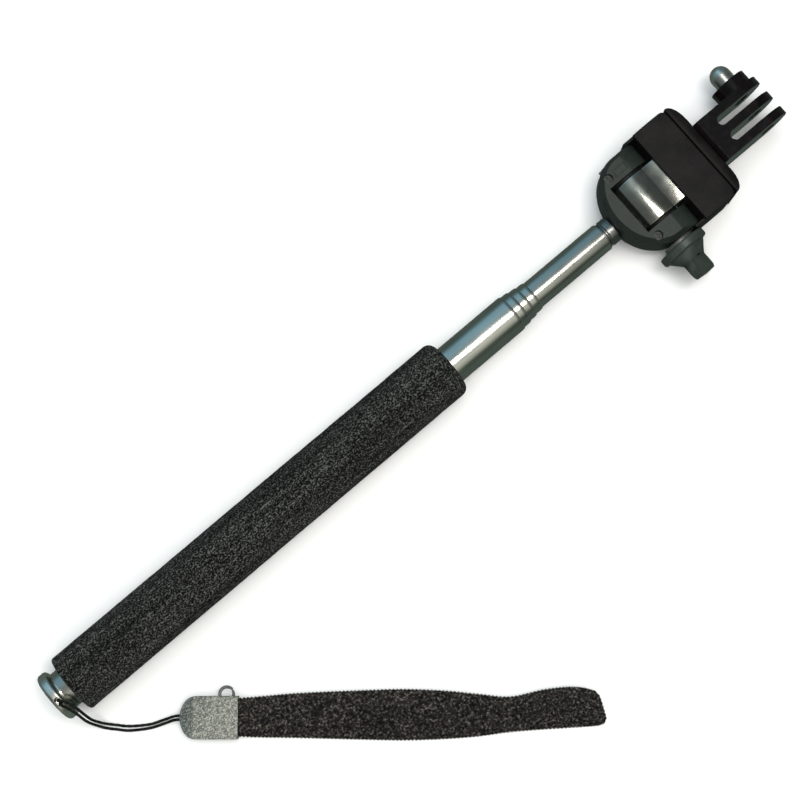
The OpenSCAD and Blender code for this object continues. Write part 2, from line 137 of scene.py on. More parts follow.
def filleted(corners, radii):
    """A closed outline of (along, radius) points with its corners rounded by the given radii."""
    steps = 4
    out = []
    count = len(corners)
    for i, (corner, radius) in enumerate(zip(corners, radii)):
        corner = np.array(corner, float)
        if radius <= 0:
            out.append(corner)
            continue
        before = np.array(corners[i - 1], float) - corner
        after = np.array(corners[(i + 1) % count], float) - corner
        reach = min(radius, 0.45 * np.linalg.norm(before), 0.45 * np.linalg.norm(after))
        start = corner + before / np.linalg.norm(before) * reach
        end = corner + after / np.linalg.norm(after) * reach
        for t in np.linspace(0, 1, steps + 1):
            out.append((1 - t) ** 2 * start + 2 * t * (1 - t) * corner + t ** 2 * end)
    return np.array(out)


def turned(name, outline, axis, centre, node, segments=128):
    """A solid of revolution from a closed outline of (along, radius) points in mm.

    axis is "x" or "y"; centre is the axis's place in the other two directions, in mm.
    """
    angle = np.linspace(0, 2 * math.pi, segments, endpoint=False)
    rings = []
    for turn in angle:
        along, radius = outline[:, 0], outline[:, 1]
        u, v = radius * math.cos(turn), radius * math.sin(turn)
        if axis == "x":
            ring = np.stack([along, centre[0] + u, centre[1] + v], axis=1)
        else:
            ring = np.stack([centre[0] + u, along, centre[1] + v], axis=1)
        rings.append(ring)
    points, faces = loft(np.array(rings) * MM, closed_loop=True)
    piece = add_mesh(name, points, faces, node)
    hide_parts(node)
    return piece


def rounded_copy(name, node, width, angle=28.0, segments=3):
    """A copy of a CAD node's shape with its edges rounded, which stands for the node."""
    source = NODES[node].data
    bm = bmesh.new()
    verts = [bm.verts.new(v.co) for v in source.vertices]
    bm.verts.ensure_lookup_table()
    for polygon in source.polygons:
        try:
            bm.faces.new([verts[i] for i in polygon.vertices])
        except ValueError:
            continue
    bmesh.ops.remove_doubles(bm, verts=bm.verts, dist=2e-6)
    bmesh.ops.dissolve_degenerate(bm, edges=bm.edges, dist=1e-6)
    bmesh.ops.dissolve_limit(bm, angle_limit=math.radians(0.6), verts=bm.verts, edges=bm.edges)
    mesh = bpy.data.meshes.new(name)
    bm.to_mesh(mesh)
    bm.free()
    for polygon in mesh.polygons:
        polygon.use_smooth = True
    piece = bpy.data.objects.new(name, mesh)
    bpy.context.scene.collection.objects.link(piece)
    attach(piece, BODY_OF[node])
    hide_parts(node)
    bevel = piece.modifiers.new("round_edges", "BEVEL")
    bevel.width = width * MM
    bevel.segments = segments
    bevel.limit_method = "ANGLE"
    bevel.angle_limit = math.radians(angle)
    bevel.miter_outer = "MITER_ARC"
    bevel.use_clamp_overlap = True
    normals = piece.modifiers.new("even_shading", "WEIGHTED_NORMAL")
    normals.keep_sharp = False
    normals.weight = 60
    return piece


def box_mm(node):
    """A CAD node's lowest and highest corners, in mm."""
    low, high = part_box(node)
    return np.array(low) / MM, np.array(high) / MM


def catmull_rom(points, step):
    """A smooth line through the points, with about step between its own points."""
    points = np.asarray(points, float)
    padded = np.vstack([2 * points[0] - points[1], points, 2 * points[-1] - points[-2]])
    fine = []
    for i in range(len(points) - 1):
        p0, p1, p2, p3 = padded[i:i + 4]
        for t in np.linspace(0, 1, 24, endpoint=False):
            fine.append(0.5 * (
                2 * p1 + (p2 - p0) * t + (2 * p0 - 5 * p1 + 4 * p2 - p3) * t ** 2
                + (3 * p1 - p0 - 3 * p2 + p3) * t ** 3
            ))
    fine = np.array(fine + [points[-1]])
    along = np.concatenate([[0], np.cumsum(np.linalg.norm(np.diff(fine, axis=0), axis=1))])
    at = np.linspace(0, along[-1], int(along[-1] / step) + 1)
    return np.stack([np.interp(at, along, fine[:, k]) for k in range(3)], axis=1), at


def frames_across(line):
    """Two unit directions across a line at each of its points, carried along without twist."""
    along = np.gradient(line, axis=0)
    along /= np.linalg.norm(along, axis=1)[:, None]
    side = np.cross(along[0], [0.0, 1.0, 0.0])
    side /= np.linalg.norm(side)
    across = []
    for direction in along:
        side = side - direction * side.dot(direction)
        side /= np.linalg.norm(side)
        across.append(side)
    across = np.array(across)
    return across, np.cross(along, across)


# ---------------------------------------------------------------- material helpers

def set_stops(ramp, stops):
    """Gives a colour ramp its (position, colour) stops."""
    elements = ramp.color_ramp.elements
    while len(elements) < len(stops):
        elements.new(0.5)
    for element, (position, colour) in zip(elements, stops):
        element.position = position
        element.color = (*colour, 1)


class Shader:
    """A Principled material with short calls for the nodes that its surfaces need."""

    def __init__(self, name, **values):
        self.material = bpy.data.materials.new(name)
        self.material.use_nodes = True
        self.tree = self.material.node_tree
        self.surface = self.tree.nodes["Principled BSDF"]
        self.place = self.tree.nodes.new("ShaderNodeTexCoord").outputs["Object"]
        for key, value in values.items():
            self.surface.inputs[key.replace("_", " ")].default_value = value

    def node(self, kind, **settings):
        made = self.tree.nodes.new("ShaderNode" + kind)
        for key, value in settings.items():
            setattr(made, key, value)
        return made

    def link(self, source, target):
        self.tree.links.new(source, target)

    def mapped(self, stretch):
        """The place on the object, stretched: a smaller number makes longer features along that axis."""
        mapping = self.node("Mapping")
        self.link(self.place, mapping.inputs["Vector"])
        mapping.inputs["Scale"].default_value = stretch
        return mapping.outputs["Vector"]

    def noise(self, size_mm, stretch=(1, 1, 1), detail=3.0, roughness=0.5):
        """Noise whose features are about size_mm across, from 0 to 1."""
        texture = self.node("TexNoise")
        texture.inputs["Scale"].default_value = 1 / (size_mm * MM)
        texture.inputs["Detail"].default_value = detail
        texture.inputs["Roughness"].default_value = roughness
        self.link(self.mapped(stretch), texture.inputs["Vector"])
        return texture.outputs["Fac"]

    def cells(self, size_mm, output="Distance"):
        """Voronoi cells about size_mm across."""
        texture = self.node("TexVoronoi")
        texture.inputs["Scale"].default_value = 1 / (size_mm * MM)
        self.link(self.place, texture.inputs["Vector"])
        return texture.outputs[output]

    def ramp(self, value, stops):
        """A colour ramp over the value, from (position, colour) stops."""
        ramp = self.node("ValToRGB")
        set_stops(ramp, stops)
        self.link(value, ramp.inputs["Fac"])
        return ramp.outputs["Color"]

    def span(self, value, low, high, from_low=0.0, from_high=1.0):
        """The value, spread from one range to another."""
        spread = self.node("MapRange")
        spread.inputs["From Min"].default_value = from_low
        spread.inputs["From Max"].default_value = from_high
        spread.inputs["To Min"].default_value = low
        spread.inputs["To Max"].default_value = high
        self.link(value, spread.inputs["Value"])
        return spread.outputs["Result"]

    def multiply(self, first, second):
        """Two colours multiplied."""
        mixed = self.node("MixRGB", blend_type="MULTIPLY")
        mixed.inputs["Fac"].default_value = 1.0
        self.link(first, mixed.inputs["Color1"])
        self.link(second, mixed.inputs["Color2"])
        return mixed.outputs["Color"]

    def add(self, first, second, weight=1.0):
        total = self.node("Math", operation="MULTIPLY_ADD")
        self.link(second, total.inputs[0])
        total.inputs[1].default_value = weight
        self.link(first, total.inputs[2])
        return total.outputs["Value"]

    def bump(self, height, depth_mm, strength=1.0):
        bump = self.node("Bump")
        bump.inputs["Strength"].default_value = strength
        bump.inputs["Distance"].default_value = depth_mm * MM
        self.link(height, bump.inputs["Height"])
        self.link(bump.outputs["Normal"], self.surface.inputs["Normal"])

    def colour(self, source):
        self.link(source, self.surface.inputs["Base Color"])

    def gloss(self, source):
        self.link(source, self.surface.inputs["Roughness"])


def dress(piece, material):
    """Gives a piece or a CAD node its one material."""
    piece.data.materials.clear()
    piece.data.materials.append(material)


# ---------------------------------------------------------------- materials

def foam_material():
    """Matte charcoal closed-cell foam: open pores with light rims and faint lengthwise streaks."""
    s = Shader("foam", Roughness=0.95, Specular_IOR_Level=0.12)
    grain = s.noise(0.40, stretch=(0.7, 1, 1), detail=2, roughness=0.6)
    pores = s.cells(0.5)
    streaks = s.noise(1.5, stretch=(0.03, 1, 1), detail=3)
    base = s.ramp(s.add(grain, pores, 0.25), [
        (0.50, (0.002, 0.002, 0.002)), (0.63, (0.014, 0.015, 0.014)), (0.80, (0.125, 0.128, 0.120)),
    ])
    tone = s.ramp(streaks, [(0.36, (0.42, 0.42, 0.42)), (0.66, (1.0, 1.0, 1.0))])
    s.colour(s.multiply(base, tone))
    s.bump(s.add(grain, pores, 0.8), 0.14, 1.0)
    return s.material


def tube_material():
    """Polished stainless tube with fine lengthwise draw lines and a few cloudy smudges."""
    s = Shader("tube_steel", Metallic=1.0)
    lines = s.noise(0.16, stretch=(0.01, 1, 1), detail=3, roughness=0.7)
    cloud = s.noise(5, stretch=(0.4, 1, 1), detail=3)
    s.colour(s.ramp(s.add(cloud, lines, 0.4), [(0.45, (0.54, 0.55, 0.52)), (0.95, (0.74, 0.74, 0.70))]))
    s.gloss(s.span(cloud, 0.20, 0.26, 0.35, 0.65))
    s.bump(lines, 0.0015, 0.3)
    return s.material


def chrome_material():
    """Mirror plating with a faint orange peel and light smudges."""
    s = Shader("chrome", Metallic=1.0)
    cloud = s.noise(3.0, detail=3)
    peel = s.noise(0.8, detail=2)
    s.colour(s.ramp(cloud, [(0.3, (0.86, 0.85, 0.80)), (0.7, (0.96, 0.94, 0.89))]))
    s.gloss(s.span(cloud, 0.24, 0.32, 0.3, 0.7))
    s.bump(peel, 0.004, 0.4)
    return s.material


def barrel_material():
    """Plated barrel, ground round its axis, so its lines run across the pole's length."""
    s = Shader("barrel_chrome", Metallic=1.0)
    lines = s.noise(0.12, stretch=(1, 0.02, 1), detail=3)
    cloud = s.noise(4.0, detail=2)
    s.colour(s.ramp(cloud, [(0.3, (0.60, 0.60, 0.55)), (0.7, (0.78, 0.76, 0.70))]))
    s.gloss(s.span(cloud, 0.14, 0.19, 0.3, 0.7))
    s.bump(lines, 0.005, 0.4)
    return s.material


def screw_material():
    """Zinc-plated steel for screws, bolts and washers."""
    s = Shader("screw_steel", Metallic=1.0)
    grain = s.noise(0.3, detail=3)
    s.colour(s.ramp(grain, [(0.3, (0.45, 0.45, 0.45)), (0.7, (0.62, 0.62, 0.61))]))
    s.gloss(s.span(grain, 0.22, 0.40, 0.3, 0.7))
    s.bump(grain, 0.01, 0.3)
    return s.material


def brass_material():
    s = Shader("brass", Metallic=1.0)
    grain = s.noise(0.4, stretch=(0.3, 1, 1), detail=3)
    s.colour(s.ramp(grain, [(0.3, (0.50, 0.36, 0.14)), (0.7, (0.72, 0.55, 0.25))]))
    s.gloss(s.span(grain, 0.24, 0.42, 0.3, 0.7))
    s.bump(grain, 0.01, 0.3)
    return s.material


def ferrule_material():
    """Satin grey metal of the neck."""
    s = Shader("ferrule", Metallic=1.0)
    lines = s.noise(0.15, stretch=(1, 0.1, 0.1), detail=2)
    s.colour(s.ramp(lines, [(0.3, (0.24, 0.25, 0.245)), (0.7, (0.36, 0.37, 0.36))]))
    s.gloss(s.span(lines, 0.25, 0.38, 0.3, 0.7))
    s.bump(lines, 0.01, 0.3)
    return s.material


def plastic_material(name, dark, light, roughness, grain_mm, depth_mm, shine=0.5):
    """Moulded plastic or rubber: a spark-eroded grain, slow tone changes and uneven gloss."""
    s = Shader(name, Specular_IOR_Level=shine)
    grain = s.noise(grain_mm, detail=3, roughness=0.6)
    cloud = s.noise(6.0, detail=3)
    blend = s.add(s.span(cloud, 0.0, 0.5), grain, 0.5)
    s.colour(s.ramp(blend, [(0.3, dark), (0.7, light)]))
    s.gloss(s.span(blend, roughness - 0.06, roughness + 0.08, 0.3, 0.7))
    s.bump(grain, depth_mm, 0.8)
    return s.material


def gloss_plastic_material():
    """Polished black plastic of the adapter, with hairline scratches and a little flow unevenness."""
    s = Shader("adapter_plastic", Specular_IOR_Level=0.45)
    flow = s.noise(2.5, detail=2)
    hair = s.noise(0.10, stretch=(0.15, 1, 1), detail=2)
    s.colour(s.ramp(flow, [(0.3, (0.002, 0.0015, 0.0015)), (0.7, (0.006, 0.004, 0.005))]))
    s.gloss(s.span(s.add(flow, hair, 0.5), 0.05, 0.13, 0.5, 1.0))
    s.bump(s.add(flow, hair, 0.08), 0.03, 0.25)
    return s.material


def clip_material():
    """Sparkling grey paint over a pebbled casting."""
    s = Shader("clip_paint", Metallic=0.85)
    flakes = s.cells(0.32, output="Color")
    sparkle = s.node("SeparateColor")
    s.link(flakes, sparkle.inputs["Color"])
    pebbles = s.noise(0.5, detail=3, roughness=0.65)
    s.colour(s.ramp(s.add(s.span(sparkle.outputs["Red"], 0.0, 0.5), pebbles, 0.5), [
        (0.25, (0.110, 0.125, 0.112)), (0.52, (0.285, 0.29, 0.265)), (0.80, (0.67, 0.65, 0.585)),
    ]))
    s.gloss(s.span(sparkle.outputs["Green"], 0.38, 0.55))
    s.bump(pebbles, 0.05, 0.5)
    return s.material


def yarn_material(name, size_mm, dark, light):
    """Black textured polyester yarn with loose light fibres."""
    s = Shader(name, Roughness=0.9, Specular_IOR_Level=0.15)
    fibres = s.noise(size_mm, detail=4, roughness=0.75)
    patches = s.noise(9.0, detail=2)
    middle = tuple(0.12 * (a + b) for a, b in zip(dark, light))
    base = s.ramp(fibres, [(0.42, dark), (0.55, middle), (0.72, light)])
    tone = s.ramp(patches, [(0.3, (0.80, 0.80, 0.82)), (0.7, (1.0, 0.99, 0.98))])
    s.colour(s.multiply(base, tone))
    s.bump(fibres, 0.09, 0.8)
    return s.material


MAT = {
    "foam": foam_material(),
    "tube": tube_material(),
    "chrome": chrome_material(),
    "barrel": barrel_material(),
    "screw": screw_material(),
    "dark_steel": plastic_material(
        "dark_steel", dark=(0.05, 0.055, 0.052), light=(0.11, 0.115, 0.11),
        roughness=0.35, grain_mm=0.4, depth_mm=0.01, shine=0.9,
    ),
    "brass": brass_material(),
    "ferrule": ferrule_material(),
    "head": plastic_material(
        "head_plastic", dark=(0.009, 0.013, 0.011), light=(0.022, 0.028, 0.024),
        roughness=0.40, grain_mm=0.5, depth_mm=0.03, shine=0.32,
    ),
    # Painted light: a lighter copy of the head plastic, making up for the light that the knob's steep faces
    # miss.
    "knob": plastic_material(
        "knob_plastic_painted_light", dark=(0.018, 0.024, 0.021), light=(0.042, 0.052, 0.046),
        roughness=0.36, grain_mm=0.5, depth_mm=0.03, shine=0.45,
    ),
    "block": plastic_material(
        "platform_plastic", dark=(0.003, 0.003, 0.003), light=(0.015, 0.013, 0.013),
        roughness=0.55, grain_mm=0.5, depth_mm=0.05, shine=0.14,
    ),
    "pad": plastic_material(
        "pad_rubber", dark=(0.002, 0.002, 0.002), light=(0.010, 0.008, 0.008),
        roughness=0.50, grain_mm=0.5, depth_mm=0.04, shine=0.25,
    ),
    "nylon": plastic_material(
        "nylon", dark=(0.60, 0.59, 0.55), light=(0.74, 0.73, 0.69),
        roughness=0.5, grain_mm=0.4, depth_mm=0.02,
    ),
    "plug": plastic_material(
        "plug_plastic", dark=(0.006, 0.006, 0.006), light=(0.014, 0.014, 0.014),
        roughness=0.5, grain_mm=0.4, depth_mm=0.02, shine=0.3,
    ),
    "dark_screw": plastic_material(
        "dark_screw", dark=(0.016, 0.019, 0.018), light=(0.034, 0.038, 0.036),
        roughness=0.38, grain_mm=0.3, depth_mm=0.02, shine=0.4,
    ),
    "adapter": gloss_plastic_material(),
    "clip": clip_material(),
    "webbing": yarn_material(
        "webbing", size_mm=0.75, dark=(0.002, 0.002, 0.002), light=(0.210, 0.190, 0.170),
    ),
    "cord": yarn_material(
        "cord_yarn", size_mm=0.3, dark=(0.002, 0.003, 0.003), light=(0.075, 0.085, 0.080),
    ),
}


# ---------------------------------------------------------------- the wrist cord

CORD_D = 0.84
CORD_A = [
    (1.7, -1.7, 5.6), (1.7, -1.7, 7.4), (2.2, -2.2, 8.6), (3.3, -3.7, 8.9), (4.2, -5.6, 8),
    (4.5, -7.5, 5.9), (4.4, -9.1, 2.7), (4.2, -10.3, -1), (4.3, -11.8, -4.3), (5, -13.3, -6.7),
    (6.3, -15.2, -8.4), (8.4, -17.5, -8.9), (11.2, -20.3, -8.9), (16.1, -23.7, -8.9), (20.5, -25.5, -8.2),
    (23.2, -26.6, -7.3), (25.1, -27.9, -7), (26.6, -29.2, -7), (29.7, -31.9, -7),
]
CORD_B = [
    (1.7, -2.9, 5.6), (1.7, -2.9, 7.4), (1.9, -3.8, 8.4), (2.6, -5.5, 7.7), (3.1, -7.3, 6.2),
    (3.2, -8.8, 3.6), (3, -9.9, 0.3), (2.9, -11.1, -3), (3.4, -12.7, -5.8), (4.3, -14.4, -7.7),
    (5.3, -16, -8.9), (7.6, -18.5, -8.9), (10.3, -21.2, -8.9), (15.3, -24.5, -8.9), (19.8, -26.4, -8.2),
    (22.4, -27.4, -7.3), (24.4, -28.8, -7), (25.8, -30, -7), (29, -32.7, -7),
]


def braided_cord(name, route, node):
    """A round braided cord: strands cross each other over and under along the tube."""
    around, lay, strands, depth = 24, 1.9, 4, 0.055
    line, at = catmull_rom(route, 0.11)
    across, up = frames_across(line)
    turn = np.linspace(0, 2 * math.pi, around, endpoint=False)
    phase = 2 * math.pi * at[:, None] / lay
    left = np.sin(strands * turn[None, :] + phase)
    right = np.sin(strands * turn[None, :] - phase)
    radius = CORD_D / 2 * (1 - depth) + CORD_D / 2 * depth * np.maximum(left, right) * 1.6
    rings = (
        line[:, None, :]
        + radius[:, :, None] * (
            across[:, None, :] * np.cos(turn)[None, :, None] + up[:, None, :] * np.sin(turn)[None, :, None]
        )
    )
    points, faces = loft(rings * MM)
    piece = add_mesh(name, points, faces, node, smooth_angle=60)
    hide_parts(node)
    dress(piece, MAT["cord"])
    return piece, line * MM


def make_cords(on_the_cord):
    """The cord's two strands, from the slot in the butt button's rim to the strap's clip."""
    strand_a, line_a = braided_cord("wrist_cord_a", CORD_A, "cord_strand_a")
    strand_b, line_b = braided_cord("wrist_cord_b", CORD_B, "cord_strand_b")


# ---------------------------------------------------------------- the wrist strap

STRAP_AT = (24.3, -28.0)
STRAP_TURN = math.radians(-40.3)
WEB_W, WEB_T, WEB_RELIEF = 10.2, 1.15, 0.27


def from_strap(points):
    """Points along, across and above the strap's start, in mm, put in the row frame, in metres."""
    points = np.asarray(points, float)
    c, s = math.cos(STRAP_TURN), math.sin(STRAP_TURN)
    x = STRAP_AT[0] + c * points[..., 0] - s * points[..., 1]
    y = STRAP_AT[1] + s * points[..., 0] + c * points[..., 1]
    return np.stack([x, y, points[..., 2]], axis=-1) * MM


def webbing_line():
    """The middle of the webbing: out of the clip, along the table, round the loop's end and back on top."""
    floor = FLOOR_Z / MM
    low, high = floor + 0.66, floor + 1.95
    out = [
        (12.2, -0.2, -7.62), (17.6, -0.5, -7.75), (24, -0.8, low + 0.25), (36, -1.0, low), (55, -1.5, low),
        (68, -1.7, low), (80, -1.3, low), (90, -0.5, low), (99, 0.7, low), (111, 1.6, low), (119, 2.1, low),
        (124.4, 2.5, low + 0.05),
    ]
    turn = [(126.2, 2.8, low + 0.75), (126.0, 3.1, high + 0.35)]
    back = [
        (123.6, 3.6, high + 0.75), (117, 3.9, high + 0.55), (109, 3.1, high + 0.35),
        (99, 1.0, high + 0.15), (90, 1.7, high + 0.1), (80, 2.7, high + 0.15), (68, 3.2, high + 0.1),
        (55, 2.9, high), (36, 2.1, high), (24, 1.1, high + 0.1), (17.6, 0.6, -6.30), (12.2, 0.2, -6.42),
    ]
    return out + turn + back


def make_webbing():
    """Knitted webbing: lengthwise ribs of chained stitches, with small loops along both edges."""
    ribs, columns, stitch, step = 9, 46, 1.15, 0.26
    edge_loop, corner = 0.20, 2.6
    half_w, half_t = WEB_W / 2, WEB_T / 2
    line, at = catmull_rom(webbing_line(), step)
    along = np.gradient(line, axis=0)
    along /= np.linalg.norm(along, axis=1)[:, None]
    # Across the strap the webbing keeps level, with a slant where the loop turns back.
    slant = 0.29 * np.exp(-((at - at[-1] / 2) / 9.0) ** 2)
    across = np.stack([-slant, np.ones_like(slant), np.zeros_like(slant)], axis=1)
    normal = np.cross(along, across)
    normal /= np.linalg.norm(normal, axis=1)[:, None]
    # One ring goes once round the webbing's section: over the top, round an edge, back below.
    top = np.linspace(-1, 1, columns)
    ring = [(v, +1) for v in top] + [(1.0, 0.0)] + [(v, -1) for v in top[::-1]] + [(-1.0, 0.0)]
    v = np.array([p[0] for p in ring])
    face = np.array([p[1] for p in ring])
    edge_loops = edge_loop * np.cos(2 * math.pi * at[:, None] / stitch) * (np.abs(v) > 0.9)[None, :]
    chain = np.abs(np.cos(math.pi * ribs * (v + 1) / 2))[None, :]
    lean = np.where(np.floor(ribs * (v + 1) / 2 + 0.5) % 2 == 0, 1.0, -1.0)[None, :]
    slip = 0.18 * lean * np.sin(ribs * math.pi * v)[None, :]
    stitches = 0.5 + 0.5 * np.cos(2 * math.pi * (at[:, None] / stitch + slip))
    relief = WEB_RELIEF * (1 - chain) ** 0.7 * (0.45 + 0.55 * stitches) * np.abs(face)[None, :]
    thin = np.where(np.abs(v) > 0.93, 0.72, 1.0)[None, :]
    lift = face[None, :] * (half_t * thin - WEB_RELIEF + relief)
    width = half_w * v[None, :] * (1 - 0.012 * (face == 0)[None, :]) + np.sign(v)[None, :] * edge_loops
    sideways = across[:, None, :] * width[:, :, None]
    upwards = normal[:, None, :] * lift[:, :, None]
    rings = line[:, None, :] + sideways + upwards
    # The folded end's corners are rounded off.
    into = np.clip((np.abs(v) * half_w - (half_w - corner)) / corner, 0, 1)
    near = np.exp(-((at - at[-1] / 2) / 7.0) ** 2)
    rings[:, :, 0] -= near[:, None] * (corner * (1 - np.sqrt(1 - 0.98 * into ** 2)))[None, :]
    points, faces = loft(from_strap(rings))
    piece = add_mesh("wrist_strap_webbing", points, faces, "wrist_webbing", smooth_angle=75)
    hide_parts("wrist_webbing")
    dress(piece, MAT["webbing"])
    return piece, at[-1] * MM


def make_ring():
    """The split ring in the clip: a wire coiled twice, the second turn inside the first."""
    low, high = box_mm("wire_ring")
    centre, outer = (low + high) / 2, (high[0] - low[0]) / 2
    wire, turns, inwards = 0.24, 2, 0.50
    t = np.linspace(0, 1, 121)
    step = np.clip((t * turns - 0.85) / 0.3, 0, 1)
    step = step * step * (3 - 2 * step)
    radius = outer - wire - 0.02 - inwards * step
    turn = 2 * math.pi * turns * t * 0.985
    line = centre + np.stack([radius * np.cos(turn), radius * np.sin(turn), 0.12 - 0.26 * step], axis=1)
    across, up = frames_across(line)
    around = np.linspace(0, 2 * math.pi, 16, endpoint=False)
    rings = line[:, None, :] + wire * (
        across[:, None, :] * np.cos(around)[None, :, None] + up[:, None, :] * np.sin(around)[None, :, None]
    )
    points, faces = loft(rings * MM)
    piece = add_mesh("split_ring", points, faces, "wire_ring", smooth_angle=60)
    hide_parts("wire_ring")
    dress(piece, MAT["dark_steel"])
    return piece


def make_strap():
    top = rounded_copy("strap_clip_top", "clip_top", 0.38, segments=4)
    bottom = rounded_copy("strap_clip_bottom", "clip_bottom", 0.25)
    for part in (top, bottom):
        dress(part, MAT["clip"])
    ring = make_ring()
    webbing, long = make_webbing()
    return [top, bottom, ring, NODES["cord_crimp"]]


# ---------------------------------------------------------------- the handle

def value_noise(shape, cells, seed):
    """Smooth noise from -1 to 1 on a grid that wraps round its second direction."""
    rng = np.random.default_rng(seed)
    coarse = rng.uniform(-1, 1, (cells[0] + 1, cells[1]))
    u = np.linspace(0, cells[0], shape[0], endpoint=False)
    w = np.linspace(0, cells[1], shape[1], endpoint=False)
    i, j = u.astype(int), w.astype(int)
    fu, fw = u - i, w - j
    fu, fw = fu * fu * (3 - 2 * fu), fw * fw * (3 - 2 * fw)
    j2 = (j + 1) % cells[1]
    a = coarse[np.ix_(i, j)] * (1 - fw) + coarse[np.ix_(i, j2)] * fw
    b = coarse[np.ix_(i + 1, j)] * (1 - fw) + coarse[np.ix_(i + 1, j2)] * fw
    return a * (1 - fu[:, None]) + b * fu[:, None]


def make_foam():
    """The foam sleeve, with its rounded front end, cut rear end and a skin that is never quite true."""
    low, high = box_mm("foam_grip")
    start, end, radius = low[0], high[0], high[1]
    bore = box_mm("handle_tube")[1][2]
    front, back, step = 2.6, 0.7, 0.5
    quarter = np.linspace(0, math.pi / 2, 9)
    along, out = [start], [bore]
    along += list(start + back - back * np.cos(quarter))
    out += list(radius - back + back * np.sin(quarter))
    body = np.arange(start + back + step, end - front, step)
    along += list(body)
    out += [radius] * len(body)
    along += list(end - front + front * np.sin(quarter))
    out += list(radius - front + front * np.cos(quarter))
    along.append(end)
    out.append(bore)
    along, out = np.array(along), np.array(out)
    around = 120
    turn = np.linspace(0, 2 * math.pi, around, endpoint=False)
    fine = value_noise((len(along), around), (300, 110), 3)
    dents = value_noise((len(along), around), (34, 9), 4)
    skin = (out > bore + 0.1)[:, None] * (0.045 * fine + 0.05 * dents - 0.09)
    radii = out[:, None] + skin
    rings = np.stack([
        np.broadcast_to(along[:, None], radii.shape),
        radii * np.cos(turn)[None, :],
        radii * np.sin(turn)[None, :],
    ], axis=-1)
    points, faces = loft(rings * MM, closed_ends=False)
    # Joins the two ends through the bore, so that the sleeve is closed.
    last = (len(along) - 1) * around
    faces += [(last + j, last + (j + 1) % around, (j + 1) % around, j) for j in range(around)]
    piece = add_mesh("foam_sleeve", points, faces, "foam_grip", smooth_angle=70)
    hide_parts("foam_grip")
    dress(piece, MAT["foam"])


TUBES = ["handle_tube", "tube_2", "tube_3", "tube_4", "tube_5"]
TUBE_WALL, MOUTH_LEN, RUN_GAP = 0.25, 1.6, 0.05


def make_tubes():
    """The five nested tubes, each with its mouth rolled in on the next one."""
    for i, node in enumerate(TUBES):
        low, high = box_mm(node)
        start, end, radius = low[0], high[0], high[2]
        bore = radius - TUBE_WALL
        if node == TUBES[-1]:
            corners = [(start, bore), (start, radius), (end, radius), (end, bore)]
            radii = [0, 0.06, 0.12, 0.05]
        else:
            lip = box_mm(TUBES[i + 1])[1][2] + RUN_GAP
            corners = [
                (start, bore), (start, radius), (end - 0.95, radius), (end - 0.25, radius - 0.10),
                (end, radius - 0.2), (end, lip), (end - MOUTH_LEN, lip), (end - MOUTH_LEN, bore),
            ]
            radii = [0, 0.06, 0.25, 0.12, 0.08, 0.03, 0, 0]
        outline = filleted(corners, radii)
        piece = turned("steel_" + node, outline, "x", (0, 0), node, segments=144)
        dress(piece, MAT["tube"])


def make_neck():
    low, high = box_mm("neck_ferrule")
    radius, stud = high[2], 2.0
    waist = radius - 0.35
    corners = [
        (low[0], stud), (low[0], radius), (high[0] - 3.6, radius), (high[0] - 3.3, waist),
        (high[0] - 2.9, waist), (high[0] - 2.6, radius), (high[0], radius), (high[0], stud),
    ]
    outline = filleted(corners, [0, 0.2, 0.1, 0.1, 0.1, 0.1, 0.35, 0])
    piece = turned("neck_sleeve", outline, "x", (0, 0), "neck_ferrule")
    dress(piece, MAT["ferrule"])


# ---------------------------------------------------------------- the head

BOLT_BORE = 2.55


def make_barrel():
    """The tilt barrel, which runs out in a soft hollow curve to the tongue that carries the platform."""
    low, high = box_mm("tilt_barrel")
    radius = (high[2] - low[2]) / 2
    axis = (low[0] + radius, (low[2] + high[2]) / 2)
    turn = np.linspace(0, 2 * math.pi, 360, endpoint=False)
    x, z = np.cos(turn), np.sin(turn)
    # The tongue starts down the barrel's side, hollows out and ends on a slight rise: a parabola.
    start, end = 4.5, high[0] - axis[0]
    start_h, fall, hollow = 7.2, 0.176, 0.0256
    reach = np.full_like(turn, radius)
    for _ in range(30):
        past = np.clip(reach * x, start, end) - start
        top = start_h - fall * past + hollow * past ** 2
        reach = np.minimum(top / np.maximum(np.abs(z), 1e-3), end / np.maximum(x, 1e-3))
    edge = np.where(x > start / radius, np.maximum(radius, reach), radius)
    edge = np.minimum(edge, end / np.maximum(x, 1e-3))
    corners = [(low[1], BOLT_BORE), (low[1], radius), (high[1], radius), (high[1], BOLT_BORE)]
    outline = filleted(corners, [0.2, 0.5, 0.5, 0.2])
    share = (outline[:, 1] - BOLT_BORE) / (radius - BOLT_BORE)
    radii = BOLT_BORE + share[:, None] * (edge[None, :] - BOLT_BORE)
    rings = np.stack([
        axis[0] + radii * x[None, :],
        np.broadcast_to(outline[:, :1], radii.shape),
        axis[1] + radii * z[None, :],
    ], axis=-1)
    points, faces = loft(rings.transpose(1, 0, 2) * MM, closed_loop=True)
    barrel = add_mesh("chrome_barrel", points, faces, "tilt_barrel")
    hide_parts("tilt_barrel")
    dress(barrel, MAT["barrel"])
    return axis


def make_head():
    for name, node in (("fork_top", "head_top_shell"), ("fork_bottom", "head_bottom_shell")):
        shell = rounded_copy(name, node, 0.28, angle=24, segments=4)
        dress(shell, MAT["head"])
    axis = make_barrel()
    low, high = box_mm("knob_washer")
    corners = [(low[1], BOLT_BORE), (low[1], high[2]), (high[1], high[2]), (high[1], BOLT_BORE)]
    washer = turned("plain_washer", filleted(corners, [0.1, 0.25, 0.25, 0.1]), "y", axis, "knob_washer")
    dress(washer, MAT["dark_steel"])
    knob = rounded_copy("wing_knob", "clamp_knob", 0.7, angle=30, segments=4)
    dress(knob, MAT["knob"])


